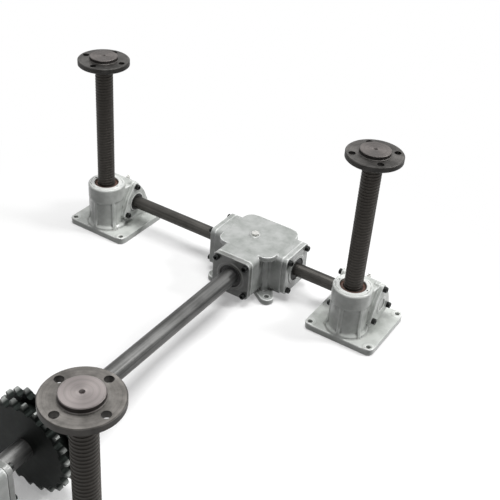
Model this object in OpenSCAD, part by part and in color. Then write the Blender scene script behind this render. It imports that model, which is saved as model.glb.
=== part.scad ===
// Linked worm screw jack set: four jacks driven together through two bevel gearboxes.
// The long shaft carries a double sprocket. Turning it raises or lowers all four screws.
// Axes: X along the cross shafts, Y along the long shaft, Z up. Z = 0 is the mounting plane.
// The origin is the centre of the rear gearbox's foot pattern.

/* [Layout] */
// Left pair of lifting screws, distance from the long shaft
left_x = 405; // [360:5:600]
// Right pair of lifting screws, distance from the long shaft
right_x = 265; // [260:5:600]
// Distance between the rear and the front rows of screws
row_pitch = 830; // [800:10:1400]
// Height of every drive shaft above the mounting plane
shaft_z = 65; // [62:1:75]

/* [Jack] */
// Side length of a jack's square base plate
base_side = 165; // [160:1:180]
// Thickness of the base plate
base_t = 15; // [12:1:20]
// Distance between base bolt holes
base_bolts = 142; // [130:1:146]
// Radius of a base bolt hole
base_hole_r = 5.5; // [4.5:0.5:6.5]
// Top of the jack's round collar
collar_z = 126; // [122:1:136]
// Travel of the lifting screws
stroke = 280; // [50:5:280]

/* [Screw and top plate] */
// Outside diameter of the lifting screw
screw_d = 40; // [40:1:40]
// Radius of the round top plate
plate_r = 57.5; // [55:0.5:65]
// Thickness of the top plate's rim
plate_t = 12; // [10:1:16]
// Bolt circle diameter of the top plate
plate_pcd = 90; // [86:1:92]
// Radius of a top plate bolt hole
plate_hole_r = 7; // [5:0.5:8]

/* [Drive] */
// Starts on each worm
worm_starts = 4; // [4:1:4]
// Teeth on each worm wheel
wheel_teeth = 24; // [24:1:24]
// Teeth on each bevel gear
bevel_teeth = 20; // [20:1:20]
// Diameter of the cross shafts
cross_d = 30; // [28:1:30]
// Diameter of the long shaft
long_d = 38; // [34:1:38]
// Teeth on the sprocket
sprocket_teeth = 22; // [18:1:22]
// Distance of the sprocket in front of the rear cross shaft
sprocket_back = 724; // [500:1:740]

/* [Hidden] */
$fn = 48;

// worm gearing: axial module, pitch radii and centre distance
worm_m = 2.75;
worm_r = 19;
wheel_r = worm_m * wheel_teeth / 2;
worm_y = worm_r + wheel_r;
worm_lead = PI * worm_m * worm_starts;
worm_len = 40;
worm_gap = 0.35;

// rows of screws and cross shafts
rear_y = -worm_y;
front_y = rear_y - row_pitch;
front_axis_y = front_y - worm_y;

// underside of the top plate's rim with the screw fully up: its hub clears the collar at the low end
plate_z = collar_z + 21.5 + stroke;

// jack casting
base_y = 36;
step_r = 46;
waist_r = 40.5;
collar_r = 43.5;
shoulder_z = 114;
nipple_seat = 44;
cavity_r = 37;
cavity_z = 36;
worm_box_x = 42;
cover_face_x = 50;
cover_pcd_r = 42;
worm_box_r = 31;
worm_bore_r = 23;
flange_r = 36.5;
lobe_r = 11;
cap_z = 93.5;
cap_bore_r = 28.5;

// T gearbox
box_half = 60;
neck_x = 90;
cover_x = 102;
neck_half = 48;
box_top_z = 114;
box_bore_r = 44;
input_reach = 13;
foot_t = 14;
foot_r = 16;
foot_x = 70;
foot_y = 68;
box_screw = 37;
bevel_m = 4;

// fasteners
bolt_r = 4;
bolt_head_r = 6.5;
bolt_head_h = 8;

// name, x, y, turn about Z, side of the jack that faces its gearbox, turn of the top plate
JACKS = [
    ["rear_left", -left_x, rear_y, 0, 1, 10],
    ["rear_right", right_x, rear_y, 0, -1, 40],
    ["front_right", right_x, front_y, 180, 1, -8],
    ["front_left", -left_x, front_y, 180, -1, 20]
];

// name, y, turn about Z
BOXES = [["rear", 0, 0], ["front", front_axis_y, 180]];

// cover name and its turn about the gearbox's centre
COVERS = [["left", 180], ["right", 0], ["input", -90]];

JACK_PARTS = [
    "jack_housing", "drive_cover", "blind_cover", "worm_wheel", "worm",
    "lifting_screw", "top_plate", "cross_shaft"
];

CAST = "#B9BBB9";
DARK_STEEL = "#3A3534";
PLATE_STEEL = "#77736F";
BRIGHT = "#87888A";
SHAFT_STEEL = "#4A4946";
BLACK = "#1A1C1A";
BRONZE = "#9A7B45";
GREASE = "#4C3A2C";

// ---------- placing ----------

module at_jack(j) translate([j[1], j[2], 0]) rotate([0, 0, j[3]]) children();

// the worm's axis of a jack, with local Z along the shaft
module on_worm_axis(x) translate([x, worm_y, shaft_z]) rotate([0, 90, 0]) children();

module at_box(b) translate([0, b[1], 0]) rotate([0, 0, b[2]]) children();

// along a gearbox output: local Z runs out from the gearbox's centre
module on_output(turn, x) rotate([0, 0, turn]) translate([x, 0, shaft_z]) rotate([0, 90, 0]) children();

module at_corners(dx, dy) for (x = [-dx, dx], y = [-dy, dy]) translate([x, y, 0]) children();

// ---------- general shapes ----------

// flat plate with round corners, centred, from z = 0
module round_plate(w, d, h, r) {
    translate([-w / 2 + r, -d / 2, 0]) cube([w - 2 * r, d, h]);
    translate([-w / 2, -d / 2 + r, 0]) cube([w, d - 2 * r, h]);
    at_corners(w / 2 - r, d / 2 - r) cylinder(r = r, h = h);
}

// ring with a square section
module ring(outer, inner, h) {
    difference() {
        cylinder(r = outer, h = h);
        translate([0, 0, -1]) cylinder(r = inner, h = h + 2);
    }
}

// socket head screw pointing down, the head's seat at z = 0
module socket_screw(length) {
    difference() {
        union() {
            cylinder(r = bolt_head_r, h = bolt_head_h - 0.8);
            translate([0, 0, bolt_head_h - 0.8]) cylinder(r1 = bolt_head_r, r2 = bolt_head_r - 0.8, h = 0.8);
            translate([0, 0, -length]) cylinder(r = bolt_r, h = length + 1);
        }
        translate([0, 0, bolt_head_h - 4.5]) cylinder(r = 3.9, h = 5, $fn = 6);
    }
}

// ---------- jack casting and covers ----------

// places children at a jack cover's three screws, round the worm's axis
module at_cover_screws() for (a = [180, 60, -60]) rotate([0, 0, a]) translate([cover_pcd_r, 0, 0]) children();

// outline of the jack covers: a disc inside a triangle with round corners, from z = 0
module cover_plate(r, lobe_r, h) {
    linear_extrude(h) hull() {
        circle(r = r);
        at_cover_screws() circle(r = lobe_r, $fn = 32);
    }
}

// round body: a step on the base plate, a waist, and the collar on top
module jack_bell() {
    rotate_extrude() polygon([
        [0, 2], [step_r, 2], [step_r, base_t + 5], [step_r - 1.5, base_t + 7], [waist_r + 2, base_t + 8.5],
        [waist_r, base_t + 12], [waist_r, 84], [waist_r + 1, 87], [collar_r, 90.5],
        [collar_r, collar_z - 2.5], [collar_r - 2.5, collar_z], [0, collar_z]
    ]);
}

// ribs from the step to the collar, which frame the sunk panels of the waist
module jack_ribs() {
    for (a = [-90, -28, -152]) {
        rotate([0, 0, a]) translate([0, 4, 0]) rotate([90, 0, 0]) linear_extrude(8)
            polygon([[20, 10], [step_r + 2, 10], [step_r + 2, base_t + 5], [collar_r - 0.6, 40],
                     [collar_r - 0.6, 96], [20, 96]]);
    }
}

// housing round the worm: its end flanges, a shoulder up to the collar, and webs down to the base plate
module worm_box() {
    on_worm_axis(-worm_box_x) {
        cover_plate(flange_r, lobe_r, 13);
        translate([0, 0, 2 * worm_box_x - 13]) cover_plate(flange_r, lobe_r, 13);
    }
    // local X is up and local Y is away from the screw
    translate([2 - worm_box_x, 0, 0]) rotate([90, 0, 90]) linear_extrude(2 * worm_box_x - 4) hull() {
        translate([worm_y, shaft_z]) circle(r = worm_box_r);
        translate([10, shoulder_z - 16]) circle(r = 16, $fn = 32);
        translate([worm_y + 8, shoulder_z - 17]) circle(r = 15, $fn = 32);
    }
    translate([-34, worm_y - 28, 8]) cube([68, 52, shaft_z - 8]);
    // webs from the end flanges down to the base plate
    for (x = [2 - worm_box_x, worm_box_x - 10])
        translate([x + 8, 0, 0]) rotate([0, -90, 0]) linear_extrude(8)
            polygon([[base_t - 2, worm_y - 34], [base_t - 2, worm_y + 46], [base_t + 6, worm_y + 44],
                     [shaft_z - 10, worm_y + 30], [shaft_z - 10, worm_y - 30]]);
    // seat of the grease nipple
    translate([0, worm_y, shaft_z]) rotate([-38, 0, 0]) cylinder(r = 7, h = nipple_seat);
}

module jack_outside() {
    translate([0, base_y, 0]) round_plate(base_side, base_side, base_t, 14);
    translate([0, base_y, base_t - 1]) at_corners(base_bolts / 2, base_bolts / 2) cylinder(r = 11.5, h = 2.5);
    intersection() {
        union() {
            jack_bell();
            jack_ribs();
            worm_box();
        }
        translate([0, base_y, 0]) round_plate(base_side - 1, base_side - 1, 200, 14);
    }
}

module jack_inside() {
    translate([0, 0, -1]) cylinder(r = 22, h = cavity_z + 2);
    translate([0, 0, cavity_z]) cylinder(r = cavity_r, h = 200);
    on_worm_axis(-worm_box_x - 1) cylinder(r = worm_bore_r, h = 2 * worm_box_x + 2);
    for (side = [-1, 1]) on_worm_axis(side * worm_box_x) at_cover_screws()
        translate([0, 0, -17]) cylinder(r = bolt_r + 0.02, h = 34);
    translate([0, base_y, -1]) at_corners(base_bolts / 2, base_bolts / 2) cylinder(r = base_hole_r, h = base_t + 9);
    // grease hole above the worm
    translate([0, worm_y, shaft_z]) rotate([-38, 0, 0]) cylinder(r = 3, h = 60);
}

module jack_housing(j) color(CAST) at_jack(j) difference() {
    jack_outside();
    jack_inside();
}

// cover plate and spigot at local z = 0 (its seat) up; the spigot goes down into the bore
module cover_blank() {
    t = cover_face_x - worm_box_x;
    cover_plate(flange_r - 0.7, lobe_r - 0.5, t);
    translate([0, 0, -7]) cylinder(r = worm_bore_r - 0.05, h = 8);
}

module cover_holes() at_cover_screws() translate([0, 0, -10]) cylinder(r = bolt_r + 0.25, h = 30);

// side +1 or -1 along the worm's axis; local z points out of the housing
module on_cover_seat(side) {
    translate([side * worm_box_x, worm_y, shaft_z])
        mirror([side < 0 ? 1 : 0, 0, 0]) rotate([0, 90, 0]) children();
}

module drive_cover(j) color(CAST) at_jack(j) on_cover_seat(j[4]) difference() {
    union() {
        cover_blank();
        translate([0, 0, 0]) cylinder(r = 24, h = cover_face_x - worm_box_x + 1.5);
    }
    translate([0, 0, -8]) cylinder(r = cross_d / 2 + 0.6, h = 30);
    translate([0, 0, 1.5]) cylinder(r = 21, h = 30);
    cover_holes();
}

module blind_cover(j) color(CAST) at_jack(j) on_cover_seat(-j[4]) difference() {
    union() {
        cover_blank();
        cylinder(r = 20, h = cover_face_x - worm_box_x + 1.5);
    }
    translate([0, 0, -8]) cylinder(r = 19, h = 8);
    translate([0, 0, cover_face_x - worm_box_x - 1]) cylinder(r = 13, h = 5);
    cover_holes();
}

// ---------- worm gearing ----------

// half thickness of a rack tooth at a height above the pitch line
function rack_half(m, y) = PI * m / 4 - worm_gap - y * tan(20);

// cross section of the worm: each start is a trapezium wound on the lead
function worm_section() = [
    for (s = [0:worm_starts - 1]) let (c = s * 360 / worm_starts)
        for (p = [[-1, -3.4], [-1, 0], [-1, 2.6], [1, 2.6], [1, 0], [1, -3.4]])
            let (a = c + p[0] * rack_half(worm_m, p[1]) / worm_lead * 360)
                [(worm_r + p[1]) * cos(a), (worm_r + p[1]) * sin(a)]
];

module worm_threads() {
    turn = 360 * worm_len / worm_lead;
    // a thread's crest faces the wheel at the middle of the worm
    rotate([0, 0, -turn / 2]) translate([0, 0, -worm_len / 2])
        linear_extrude(height = worm_len, twist = -turn, slices = ceil(turn / 20)) polygon(worm_section());
}

module worm(j) color(BRIGHT) at_jack(j) on_worm_axis(0) {
    // local -Y side of the housing frame is where the wheel is
    intersection() {
        rotate([0, 0, -90]) worm_threads();
        rotate_extrude() polygon([[0, -20], [17, -20], [22, -16], [22, 16], [17, 20], [0, 20]]);
    }
    translate([0, 0, -35]) cylinder(r = 12.5, h = 70);
    translate([0, 0, -21]) cylinder(r = 15, h = 42);
    translate([0, 0, j[4] > 0 ? 34 : -58]) cylinder(r = 10, h = 24);
}

// cross section of the worm wheel
function wheel_section() = [
    for (i = [0:wheel_teeth - 1])
        for (p = [[-1, -3.4], [-1, 0], [-1, 2.5], [1, 2.5], [1, 0], [1, -3.4]])
            let (half = [2.65, PI * worm_m / 4 - worm_gap, 0.75][p[1] < -1 ? 0 : p[1] > 1 ? 2 : 1],
                 r = wheel_r + p[1],
                 a = (i + 0.5) * 360 / wheel_teeth + p[0] * half / r * 180 / PI)
                [r * cos(a), r * sin(a)]
];

module wheel_teeth_body() {
    h = 30;
    // the helix angle of the wheel equals the worm's lead angle
    turn = h * worm_lead / (2 * PI * worm_r) / wheel_r * 180 / PI;
    rotate([0, 0, 90 - turn / 2]) linear_extrude(height = h, twist = -turn, slices = 3) polygon(wheel_section());
}

module worm_wheel(j) color(BRONZE) at_jack(j) difference() {
    union() {
        translate([0, 0, shaft_z - 15]) wheel_teeth_body();
        translate([0, 0, cavity_z + 1]) cylinder(r = 25, h = cap_z - cavity_z);
    }
    translate([0, 0, 0]) cylinder(r = screw_d / 2 + 0.08, h = 200);
}

// ---------- lifting screw ----------

module lifting_screw(j) color(DARK_STEEL) at_jack(j) {
    translate([0, 0, 26]) cylinder(r1 = 18, r2 = screw_d / 2, h = 2);
    translate([0, 0, 28]) cylinder(r = screw_d / 2, h = plate_z - 13 - 28);
    translate([0, 0, plate_z - 14]) cylinder(r = 15.9, h = 22);
}

module top_plate(j) color(PLATE_STEEL) at_jack(j) translate([0, 0, plate_z]) rotate([0, 0, j[5]]) difference() {
    rotate_extrude() polygon([
        [0, -13], [27, -13], [28, -12], [31.5, 0], [plate_r - 1.2, 0], [plate_r, 1.2], [plate_r, plate_t - 1.2],
        [plate_r - 1.2, plate_t], [32, plate_t], [31, plate_t + 1], [31, plate_t + 7.5], [30, plate_t + 8.5],
        [0, plate_t + 8.5]
    ]);
    translate([0, 0, -14]) cylinder(r = 15.95, h = 22.1);
    for (a = [0, 90, 180, 270]) rotate([0, 0, a]) translate([plate_pcd / 2, 0, -1])
        cylinder(r = plate_hole_r, h = plate_t + 2);
    translate([0, 0, plate_t + 4]) cylinder(r1 = 1.2, r2 = 4.2, h = 4.6);
}

// ---------- jack small parts ----------

module bearing_caps() color(CAST) for (j = JACKS) at_jack(j) difference() {
    rotate_extrude() polygon([
        [25.6, cap_z], [cavity_r - 0.05, cap_z], [cavity_r - 0.05, collar_z - 0.8],
        [cavity_r - 1, collar_z + 0.4], [cap_bore_r + 1, collar_z + 0.4], [cap_bore_r, collar_z - 0.6],
        [cap_bore_r, cap_z + 7], [25.6, cap_z + 7]
    ]);
    // two spanner holes
    for (x = [-32.8, 32.8]) translate([x, 0, collar_z - 5]) cylinder(r = 2, h = 8);
}

module screw_wipers() color(GREASE) for (j = JACKS) at_jack(j) rotate_extrude() polygon([
    [screw_d / 2 + 0.4, cap_z + 7.2], [cap_bore_r - 0.05, cap_z + 7.2], [cap_bore_r - 0.05, collar_z - 6],
    [26, collar_z - 4], [screw_d / 2 + 1.6, collar_z - 3], [screw_d / 2 + 0.4, collar_z - 5]
]);

// ball thrust bearing, its two washers and the cage between them
module thrust_bearing(h) {
    rotate_extrude() polygon([
        [25.3, 0], [cavity_r - 0.1, 0], [cavity_r - 0.1, 4], [34, 4], [34, h - 4], [cavity_r - 0.6, h - 4],
        [cavity_r - 0.6, h], [25.3, h], [25.3, h - 4], [28, h - 4], [28, 4], [25.3, 4]
    ]);
}

module thrust_bearings() color(BRIGHT) for (j = JACKS) at_jack(j) {
    translate([0, 0, cavity_z]) thrust_bearing(shaft_z - 15.2 - cavity_z);
    translate([0, 0, shaft_z + 15.2]) thrust_bearing(cap_z - shaft_z - 15.2);
}

// deep groove bearing, shown with a shallow recess between its rings on both faces
module ball_bearing(outer, inner, w) {
    g = (outer - inner) / 3;
    rotate_extrude() polygon([
        [inner, 0], [inner + g, 0], [inner + g, 1], [outer - g, 1], [outer - g, 0], [outer, 0],
        [outer, w], [outer - g, w], [outer - g, w - 1], [inner + g, w - 1], [inner + g, w], [inner, w]
    ]);
}

module worm_bearings() color(BRIGHT) for (j = JACKS) at_jack(j) for (side = [-1, 1])
    on_cover_seat(side) translate([0, 0, -19.5]) ball_bearing(worm_bore_r - 0.05, 12.55, 12);

// ---------- T gearbox ----------

// square flange with round corners on a gearbox output, local z outward
module neck(h) round_plate(2 * neck_half, 2 * neck_half, h, 12);

// how much further out than the others an output's neck reaches
function reach(c) = c[0] == "input" ? input_reach : 0;

module at_box_screws() at_corners(box_screw, box_screw) children();

module gearbox_outside() {
    // a tongue-shaped foot at each corner
    for (x = [-1, 1], y = [-1, 1]) hull() {
        translate([x * foot_x, y * foot_y, 0]) cylinder(r = foot_r, h = foot_t, $fn = 32);
        translate([x * 36, y * 36, 0]) cylinder(r = 24, h = foot_t, $fn = 32);
    }
    // body with concave corner pockets between the feet and the top
    difference() {
        union() {
            translate([0, 0, 4]) round_plate(2 * box_half, 2 * box_half, box_top_z - 6, 8);
            translate([0, -1, 70]) round_plate(144, 140, box_top_z - 70, 24);
        }
        for (x = [-1, 1], y = [-1, 1]) translate([x * foot_x, y * foot_y, foot_t])
            cylinder(r = 29, h = box_top_z - foot_t - 12);
    }
    // column in each pocket
    for (x = [-1, 1], y = [-1, 1]) translate([x * 50, y * 48, 6]) cylinder(r = 9, h = box_top_z - 12);
    for (c = COVERS) on_output(c[1], box_half - 8) neck(neck_x + reach(c) - box_half + 8);
    // keel under each output, down to the feet
    for (c = COVERS) rotate([0, 0, c[1]]) translate([40, -26, 0]) cube([38 + reach(c), 52, shaft_z - 30]);
    // rear boss
    translate([0, box_half - 2, shaft_z]) rotate([-90, 0, 0]) cylinder(r = 34, h = 5);
    // plug boss on the top
    translate([-8, -6, box_top_z - 1]) cylinder(r = 11, h = 2.5);
}

module gearbox_inside() {
    translate([0, 0, shaft_z - 46]) round_plate(100, 100, 90, 12);
    for (c = COVERS) {
        on_output(c[1], 40) cylinder(r = box_bore_r, h = 90);
        on_output(c[1], neck_x + reach(c) - 18) at_box_screws() cylinder(r = bolt_r + 0.02, h = 40);
    }
    translate([0, 0, -1]) at_corners(foot_x, foot_y) cylinder(r = base_hole_r, h = foot_t + 2);
    translate([-8, -6, box_top_z - 12]) cylinder(r = 6, h = 20);
}

module gearbox_housing(b) color(CAST) at_box(b) difference() {
    gearbox_outside();
    gearbox_inside();
}

// bearing carrier: square cover, spigot and seal seat; the bore suits the shaft
module gearbox_cover(b, c) {
    shaft_r = c[0] == "input" ? long_d / 2 : cross_d / 2;
    color(CAST) at_box(b) on_output(c[1], neck_x + reach(c)) difference() {
        union() {
            round_plate(2 * neck_half, 2 * neck_half, cover_x - neck_x, 12);
            translate([0, 0, -28]) cylinder(r = box_bore_r - 0.05, h = 29);
            cylinder(r = 34, h = cover_x - neck_x + 1.5);
        }
        translate([0, 0, -29]) cylinder(r = 31, h = 18);
        translate([0, 0, -30]) cylinder(r = shaft_r + 0.6, h = 60);
        translate([0, 0, 4]) cylinder(r = 27, h = 20);
        at_box_screws() translate([0, 0, -5]) cylinder(r = bolt_r + 0.25, h = 30);
    }
}

module gearbox_bearings() color(BRIGHT) for (b = BOXES) at_box(b) for (c = COVERS)
    on_output(c[1], neck_x + reach(c) - 28) ball_bearing(box_bore_r - 13.05, 15.05, 16);

// cross section of a bevel gear tooth space ring in the plane of the large end
function bevel_section(phase) = [
    for (i = [0:bevel_teeth - 1])
        for (p = [[-1, 33.4, 3.7], [-1, 40, 2.75], [-1, 46, 1], [1, 46, 1], [1, 40, 2.75], [1, 33.4, 3.7]])
            let (a = (i + phase) * 360 / bevel_teeth + p[0] * p[2] / p[1] * 180 / PI)
                [p[1] * cos(a), p[1] * sin(a)]
];

// mitre gear on -Z with its apex at the origin, bored for its shaft
module mitre_gear(phase) {
    big = bevel_m * bevel_teeth / 2;
    small = 27;
    intersection() {
        translate([0, 0, -big]) linear_extrude(height = big - small, scale = small / big)
            polygon(bevel_section(phase));
        // back cone, square to the pitch cone
        rotate_extrude() polygon([
            [0, -big], [big - 6, -big], [big + 2.6, 2.6 - big + 0.2], [big + 2.6, -10], [0, -10]
        ]);
    }
    translate([0, 0, -big - 14]) cylinder(r = 26, h = 15);
}

module bevel_gear(b) color(BRIGHT) translate([0, b[1], shaft_z]) rotate([0, -90, 0]) difference() {
    mitre_gear(0);
    translate([0, 0, -80]) cylinder(r = 15, h = 80);
}

module through_shaft(b) color(SHAFT_STEEL) translate([0, b[1], shaft_z]) rotate([0, 90, 0]) {
    translate([0, 0, -79]) cylinder(r = 15, h = 158);
    translate([0, 0, -108]) cylinder(r = 10, h = 216);
}

module input_pinion(b) color(BRIGHT) at_box(b) translate([0, 0, shaft_z]) rotate([-90, 0, 0]) {
    mitre_gear(0.5);
    translate([0, 0, -79 - input_reach]) cylinder(r = 15, h = 40 + input_reach);
    translate([0, 0, -114 - input_reach]) cylinder(r = 12, h = 50);
}

module breather_plugs() color(BRONZE) for (b = BOXES) at_box(b) translate([-8, -6, 0]) {
    translate([0, 0, box_top_z - 8]) cylinder(r = 5.98, h = 10);
    translate([0, 0, box_top_z + 1.5]) cylinder(r = 9, h = 5, $fn = 6);
}

// ---------- line shafts and sprocket ----------

// tube end: shaft of radius r from z = a to b with bored ends
module sleeve_shaft(r, bore, depth, a, b) difference() {
    translate([0, 0, a]) cylinder(r = r, h = b - a);
    translate([0, 0, a - 1]) cylinder(r = bore, h = depth + 1);
    translate([0, 0, b - depth]) cylinder(r = bore, h = depth + 1);
}

module cross_shaft(j) {
    toward = j[1] < 0 ? -1 : 1;
    box_y = j[2] > front_y / 2 ? 0 : front_axis_y;
    color(SHAFT_STEEL) translate([0, box_y, shaft_z]) rotate([0, toward * 90, 0])
        sleeve_shaft(cross_d / 2, 10, 30, 80, abs(j[1]) - 36);
}

module long_shaft() color(BRIGHT) translate([0, 0, shaft_z]) rotate([90, 0, 0])
    sleeve_shaft(long_d / 2, 12, 36, 80 + input_reach, -front_axis_y - 80 - input_reach);

// ISO 16B roller chain wheel: pitch, roller seat and outside radius
chain_pitch = 25.4;
roller_r = 8;
sprocket_r = chain_pitch / 2 / sin(180 / sprocket_teeth);
sprocket_tip_r = chain_pitch * (0.6 + 1 / tan(180 / sprocket_teeth)) / 2;

// tooth outline: a seat arc in every gap, then straight flanks to a narrow tip
function sprocket_section() = [
    for (i = [0:sprocket_teeth - 1]) let (g = i * 360 / sprocket_teeth, h = 180 / sprocket_teeth)
        for (p = concat(
            [for (t = [-60:30:60]) [sprocket_r - roller_r * cos(t), roller_r * sin(t)]],
            [for (s = [-1, 1]) [sprocket_tip_r * cos(h + s * 1.1), sprocket_tip_r * sin(h + s * 1.1)]]
        )) [p[0] * cos(g) - p[1] * sin(g), p[0] * sin(g) + p[1] * cos(g)]
];

// one row of teeth with its sides relieved toward the tips
module sprocket_row(w) intersection() {
    translate([0, 0, -w / 2]) linear_extrude(w) polygon(sprocket_section());
    rotate_extrude() polygon([
        [0, -w / 2], [sprocket_r - 4, -w / 2], [sprocket_tip_r + 1, -w / 2 + 3.6],
        [sprocket_tip_r + 1, w / 2 - 3.6], [sprocket_r - 4, w / 2], [0, w / 2]
    ]);
}

module sprocket() color(BLACK) translate([0, -sprocket_back, shaft_z]) rotate([90, 0, 0]) difference() {
    union() {
        for (s = [-1, 1]) translate([0, 0, s * 15.94]) sprocket_row(15);
        translate([0, 0, -9]) cylinder(r = 72, h = 18);
        translate([0, 0, -42.6]) cylinder(r = 34, h = 66);
    }
    translate([0, 0, -60]) cylinder(r = long_d / 2 + 0.02, h = 140);
    // set screw hole in the hub
    translate([0, 0, -34]) rotate([90, 0, 0]) cylinder(r = 4, h = 50);
}

// ---------- seals, screws and nipples ----------

module shaft_seals() color(BLACK) {
    for (j = JACKS) at_jack(j) on_cover_seat(j[4]) translate([0, 0, 1.6])
        ring(20.95, cross_d / 2 + 0.1, cover_face_x - worm_box_x - 1.6);
    for (b = BOXES) at_box(b) for (c = COVERS) on_output(c[1], neck_x + reach(c) + 4.1)
        ring(26.95, (c[0] == "input" ? long_d : cross_d) / 2 + 0.1, 7);
}

module cover_screws() color(BLACK) {
    for (j = JACKS) at_jack(j) for (side = [-1, 1]) on_cover_seat(side)
        translate([0, 0, cover_face_x - worm_box_x]) at_cover_screws() socket_screw(22);
    for (b = BOXES) at_box(b) for (c = COVERS) on_output(c[1], cover_x + reach(c))
        at_box_screws() socket_screw(28);
}

module grease_nipples() color(BRONZE) for (j = JACKS) at_jack(j) translate([0, worm_y, shaft_z])
    rotate([-38, 0, 0]) rotate_extrude() polygon([
        [0, nipple_seat - 8], [2.95, nipple_seat - 8], [2.95, nipple_seat + 0.1], [5, nipple_seat + 0.1],
        [5, nipple_seat + 4], [2.4, nipple_seat + 5], [2.4, nipple_seat + 7], [3.2, nipple_seat + 8.5],
        [2, nipple_seat + 11], [0, nipple_seat + 11]
    ]);

// ---------- nodes ----------

for (j = JACKS) {
    jack_housing(j);
    drive_cover(j);
    blind_cover(j);
    worm_wheel(j);
    worm(j);
    lifting_screw(j);
    top_plate(j);
    cross_shaft(j);
}
for (b = BOXES) {
    gearbox_housing(b);
    for (c = COVERS) gearbox_cover(b, c);
    through_shaft(b);
    bevel_gear(b);
    input_pinion(b);
}
long_shaft();
sprocket();
bearing_caps();
screw_wipers();
thrust_bearings();
worm_bearings();
gearbox_bearings();
shaft_seals();
cover_screws();
grease_nipples();
breather_plugs();
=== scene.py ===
"""Dresses the linked worm screw jack set: cast jacks and gearboxes, lifting screws, shafts and sprocket."""
import logging
import math
from dataclasses import dataclass, field, replace
from enum import Enum
from functools import lru_cache
from typing import Callable, Iterable, Sequence

import bmesh
import bpy
from mathutils import Matrix, Vector, noise


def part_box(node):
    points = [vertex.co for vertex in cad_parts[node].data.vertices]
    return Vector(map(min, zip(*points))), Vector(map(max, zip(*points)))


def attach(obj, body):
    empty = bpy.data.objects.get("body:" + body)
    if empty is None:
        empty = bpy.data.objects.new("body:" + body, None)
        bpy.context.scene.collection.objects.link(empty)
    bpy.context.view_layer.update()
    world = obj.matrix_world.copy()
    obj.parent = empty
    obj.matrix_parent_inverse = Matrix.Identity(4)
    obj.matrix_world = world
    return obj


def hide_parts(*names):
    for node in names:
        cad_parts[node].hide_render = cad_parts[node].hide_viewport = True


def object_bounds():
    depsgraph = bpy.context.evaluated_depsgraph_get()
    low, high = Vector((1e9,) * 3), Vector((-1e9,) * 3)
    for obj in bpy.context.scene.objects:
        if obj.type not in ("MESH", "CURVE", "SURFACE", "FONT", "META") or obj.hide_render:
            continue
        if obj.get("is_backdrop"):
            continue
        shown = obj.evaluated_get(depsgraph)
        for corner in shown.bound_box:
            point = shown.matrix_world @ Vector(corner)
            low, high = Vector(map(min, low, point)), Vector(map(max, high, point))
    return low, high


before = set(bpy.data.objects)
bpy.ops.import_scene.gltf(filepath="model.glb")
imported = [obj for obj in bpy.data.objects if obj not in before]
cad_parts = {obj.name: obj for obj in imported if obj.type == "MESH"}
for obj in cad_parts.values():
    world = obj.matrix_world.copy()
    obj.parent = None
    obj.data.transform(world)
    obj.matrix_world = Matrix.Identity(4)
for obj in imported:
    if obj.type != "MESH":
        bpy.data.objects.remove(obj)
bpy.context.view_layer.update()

log = logging.getLogger("screw_jacks")
MM = 0.001
WHITE = "#FFFFFF"


# ---------- choices ----------

class Row(Enum):
    """The two rows of jacks, and the quarter turns that their castings stand at."""

    REAR = 0
    FRONT = 2


class Side(Enum):
    """The side of the long shaft that a jack stands on."""

    LEFT = "left"
    RIGHT = "right"


class Output(Enum):
    """The openings of a T gearbox."""

    LEFT = "left"
    RIGHT = "right"
    INPUT = "input"


class Grain(Enum):
    """The direction that a shaft was drawn in, as how tightly its streaks pack along X, Y and Z."""

    ALONG_X = (0.02, 1.0, 1.0)
    ALONG_Y = (1.0, 0.02, 1.0)


class Axis(Enum):
    """The axis of a round piece, with 1 for each direction across it and 0 along it."""

    Y = (1.0, 0.0, 1.0)
    Z = (1.0, 1.0, 0.0)


# ---------- colour and nodes ----------

def linear(colour: str) -> tuple[float, float, float, float]:
    """Turns an sRGB hex colour to linear.

    Args:
        colour: The colour as "#RRGGBB".

    Returns:
        Its linear red, green and blue, and an alpha of 1.
    """
    parts = [int(colour[i:i + 2], 16) / 255 for i in (1, 3, 5)]
    bent = [c / 12.92 if c <= 0.04045 else ((c + 0.055) / 1.055) ** 2.4 for c in parts]
    return bent[0], bent[1], bent[2], 1.0


def add_node(tree: bpy.types.NodeTree, kind: str, settings: dict | None = None,
             links: dict | None = None) -> bpy.types.Node:
    """Adds a shader node with its settings and its links.

    Args:
        tree: The node tree that gets the node.
        kind: The node's type, such as ShaderNodeTexNoise.
        settings: The value of each property, or of each input socket by name or number.
        links: The output socket that feeds each input socket, by name or number.

    Returns:
        The new node.
    """
    node = tree.nodes.new(kind)
    for name, value in (settings or {}).items():
        if isinstance(name, str) and hasattr(node, name):
            setattr(node, name, value)
        else:
            node.inputs[name].default_value = value
    for name, source in (links or {}).items():
        tree.links.new(source, node.inputs[name])
    return node


def set_stops(ramp: bpy.types.Node, stops: Sequence[tuple[float, str]]) -> None:
    """Sets a colour ramp's stops.

    Args:
        ramp: The colour ramp node.
        stops: Places from 0 to 1 in rising order, each with its hex colour.
    """
    elements = ramp.color_ramp.elements
    while len(elements) < len(stops):
        elements.new(1.0)
    for element, (place, colour) in zip(elements, stops):
        element.position = place
        element.color = linear(colour)


def per_metre(size_mm: float) -> float:
    """The texture scale that gives a pattern of this size, in millimetres."""
    return 1000.0 / size_mm


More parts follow.
